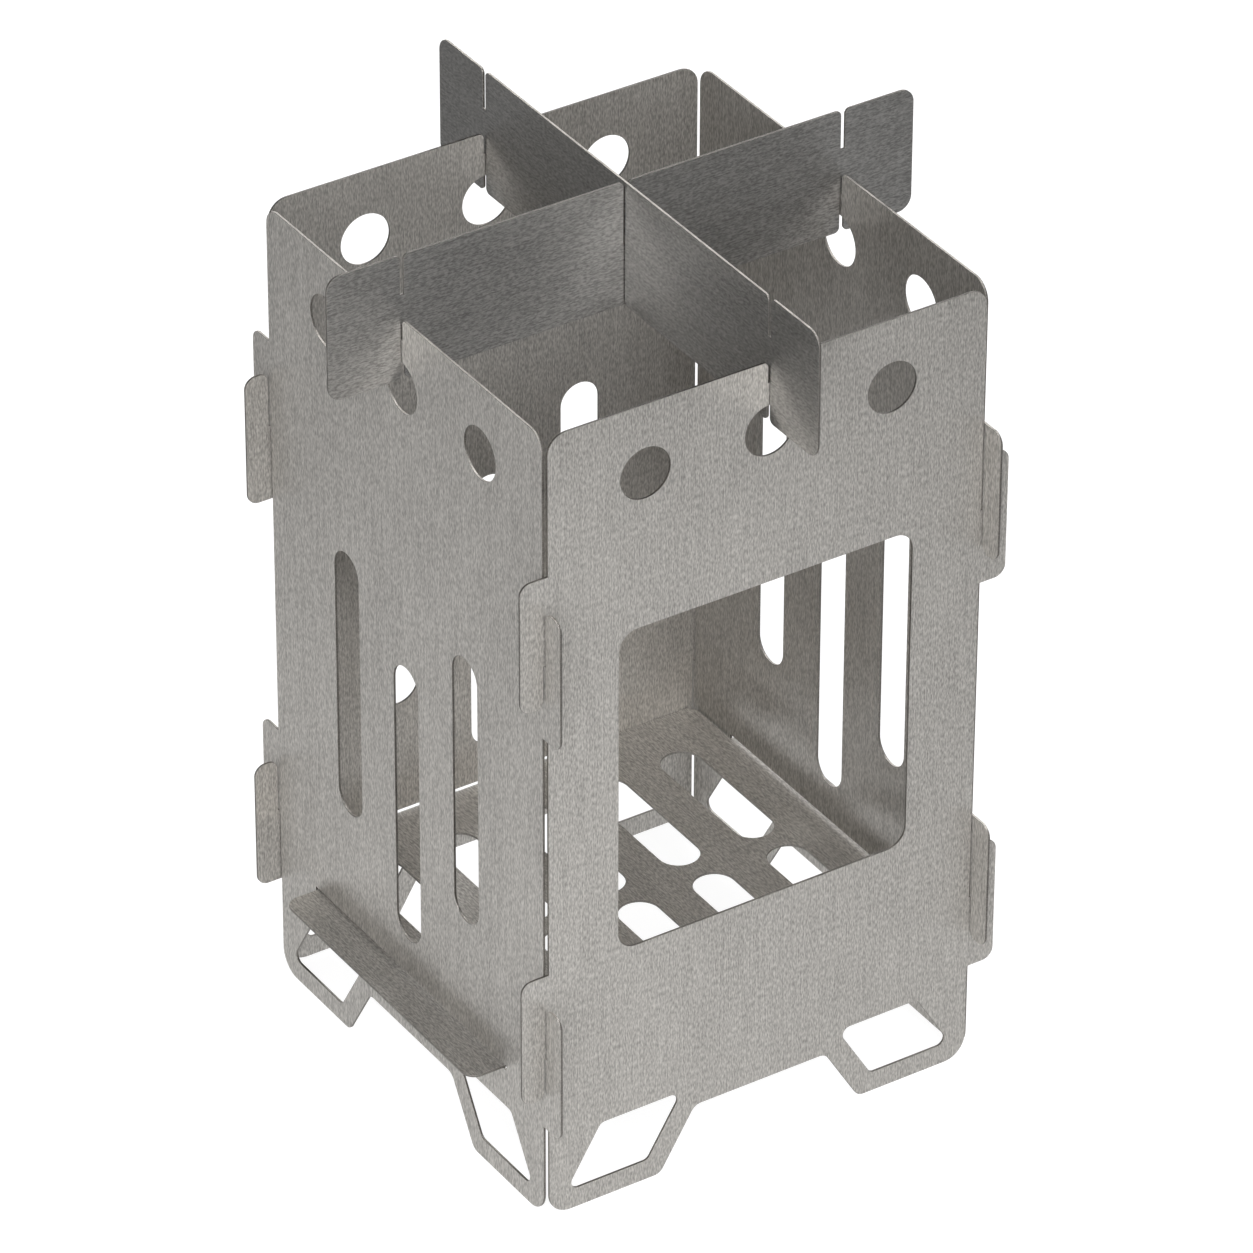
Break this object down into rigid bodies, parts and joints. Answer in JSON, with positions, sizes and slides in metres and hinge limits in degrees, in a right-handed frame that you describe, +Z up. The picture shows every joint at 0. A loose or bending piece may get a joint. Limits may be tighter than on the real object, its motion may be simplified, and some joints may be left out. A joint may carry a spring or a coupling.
{
  "type": "hobo stove",
  "caption": "Flat-pack wood-burning camp stove: hooked sheet-steel panels with a feed window and draught slots, a slotted fire grate and crossed lift-off pot rests.",
  "frame": {"origin": "middle of the footprint, on the ground the feet stand on", "axes": "+Z up from the feet to the pot rests, +Y from the feed window to the back panel, +X to the right seen from the window"},
  "size_m": [0.1596, 0.1596, 0.2338],
  "materials": {
    "panel_steel": "brushed stainless steel, grain upright",
    "grate_steel": "brushed stainless steel, grain along the slots",
    "rest_steel": "brushed stainless steel, grain along the long edges"
  },
  "bodies": {
    "firebox": {"front_panel": "panel_steel", "left_panel": "panel_steel", "right_panel": "panel_steel", "back_panel": "panel_steel", "fire_grate": "grate_steel"},
    "lower_rest": {"lower_pot_rest": "rest_steel"},
    "upper_rest": {"upper_pot_rest": "rest_steel"}
  },
  "joints": [
    {"name": "lower_rest_lift", "type": "slide", "parent": "firebox", "child": "lower_rest", "axis": [0, 0, 1], "range_m": [0, 0.022]},
    {"name": "upper_rest_lift", "type": "slide", "parent": "lower_rest", "child": "upper_rest", "axis": [0, 0, 1], "range_m": [0, 0.04]}
  ]
}
